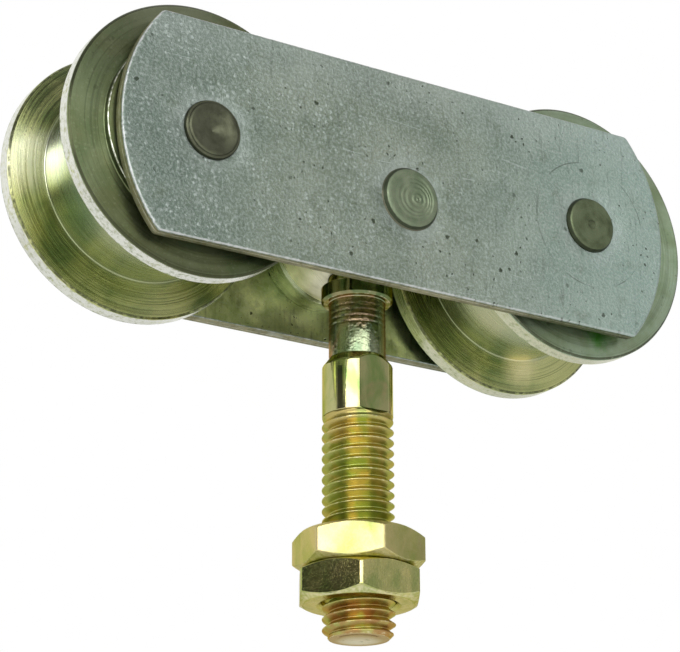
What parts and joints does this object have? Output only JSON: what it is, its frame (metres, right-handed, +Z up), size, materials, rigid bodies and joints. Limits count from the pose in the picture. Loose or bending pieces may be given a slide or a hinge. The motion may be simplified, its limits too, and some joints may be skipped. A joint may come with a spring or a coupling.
{
  "type": "sliding door hanger roller",
  "caption": "Door hanger trolley: grooved steel wheels between riveted side plates, with a swivelling pendant bolt and thin lock nuts that carry a sliding door.",
  "frame": {"origin": "on the track's running plane, midway between the wheels, on the pendant bolt's axis", "axes": "+X along the track, +Z up, the front plate towards -Y"},
  "size_m": [0.1014, 0.0296, 0.0814],
  "materials": {
    "plate_zinc": "satin mottled zinc",
    "wheel_zinc": "turned, passivated zinc",
    "rivet_steel": "spun steel, dull zinc",
    "cross_bar_zinc": "turned zinc",
    "spacer_zinc": "turned zinc",
    "bolt_zinc": "yellow passivated zinc",
    "nut_zinc": "yellow passivated zinc",
    "bearing_steel": "ground steel",
    "cage_steel": "pressed steel"
  },
  "bodies": {
    "carriage": {"front_side_plate": "plate_zinc", "rear_side_plate": "plate_zinc", "cross_bar": "cross_bar_zinc", "front_cross_bar_spacer": "spacer_zinc", "rear_cross_bar_spacer": "spacer_zinc", "pendant_washer": "bolt_zinc", "left_axle_pin": "rivet_steel", "left_bearing_inner_ring": "bearing_steel", "left_front_axle_spacer": "spacer_zinc", "left_rear_axle_spacer": "spacer_zinc", "right_axle_pin": "rivet_steel", "right_bearing_inner_ring": "bearing_steel", "right_front_axle_spacer": "spacer_zinc", "right_rear_axle_spacer": "spacer_zinc"},
    "left_wheel": {"left_wheel": "wheel_zinc", "left_bearing_outer_ring": "bearing_steel", "left_bearing_front_shield": "cage_steel", "left_bearing_rear_shield": "cage_steel"},
    "left_ball_set": {"left_bearing_balls": "bearing_steel", "left_bearing_cage": "cage_steel"},
    "right_wheel": {"right_wheel": "wheel_zinc", "right_bearing_outer_ring": "bearing_steel", "right_bearing_front_shield": "cage_steel", "right_bearing_rear_shield": "cage_steel"},
    "right_ball_set": {"right_bearing_balls": "bearing_steel", "right_bearing_cage": "cage_steel"},
    "pendant": {"pendant_bolt": "bolt_zinc"},
    "upper_nut": {"upper_nut": "nut_zinc"},
    "lower_nut": {"lower_nut": "nut_zinc"}
  },
  "joints": [
    {"name": "left_wheel_spin", "type": "hinge", "parent": "carriage", "child": "left_wheel", "pos_m": [-0.0313, 0, 0.0194], "axis": [0, 1, 0], "continuous": true},
    {"name": "left_ball_set_spin", "type": "hinge", "parent": "carriage", "child": "left_ball_set", "pos_m": [-0.0313, 0, 0.0194], "axis": [0, 1, 0], "continuous": true},
    {"name": "right_wheel_spin", "type": "hinge", "parent": "carriage", "child": "right_wheel", "pos_m": [0.0313, 0, 0.0194], "axis": [0, 1, 0], "continuous": true},
    {"name": "right_ball_set_spin", "type": "hinge", "parent": "carriage", "child": "right_ball_set", "pos_m": [0.0313, 0, 0.0194], "axis": [0, 1, 0], "continuous": true},
    {"name": "pendant_swivel", "type": "hinge", "parent": "carriage", "child": "pendant", "pos_m": [0, 0, 0.01653], "axis": [0, 0, 1], "continuous": true},
    {"name": "upper_nut_travel", "type": "slide", "parent": "pendant", "child": "upper_nut", "axis": [0, 0, 1], "range_m": [0, 0.0155]},
    {"name": "lower_nut_travel", "type": "slide", "parent": "pendant", "child": "lower_nut", "axis": [0, 0, 1], "range_m": [-0.0035, 0]}
  ],
  "couplings": [
    {"joint": "left_ball_set_spin", "follows": "left_wheel_spin", "ratio": 0.6323},
    {"joint": "right_ball_set_spin", "follows": "right_wheel_spin", "ratio": 0.6323}
  ]
}
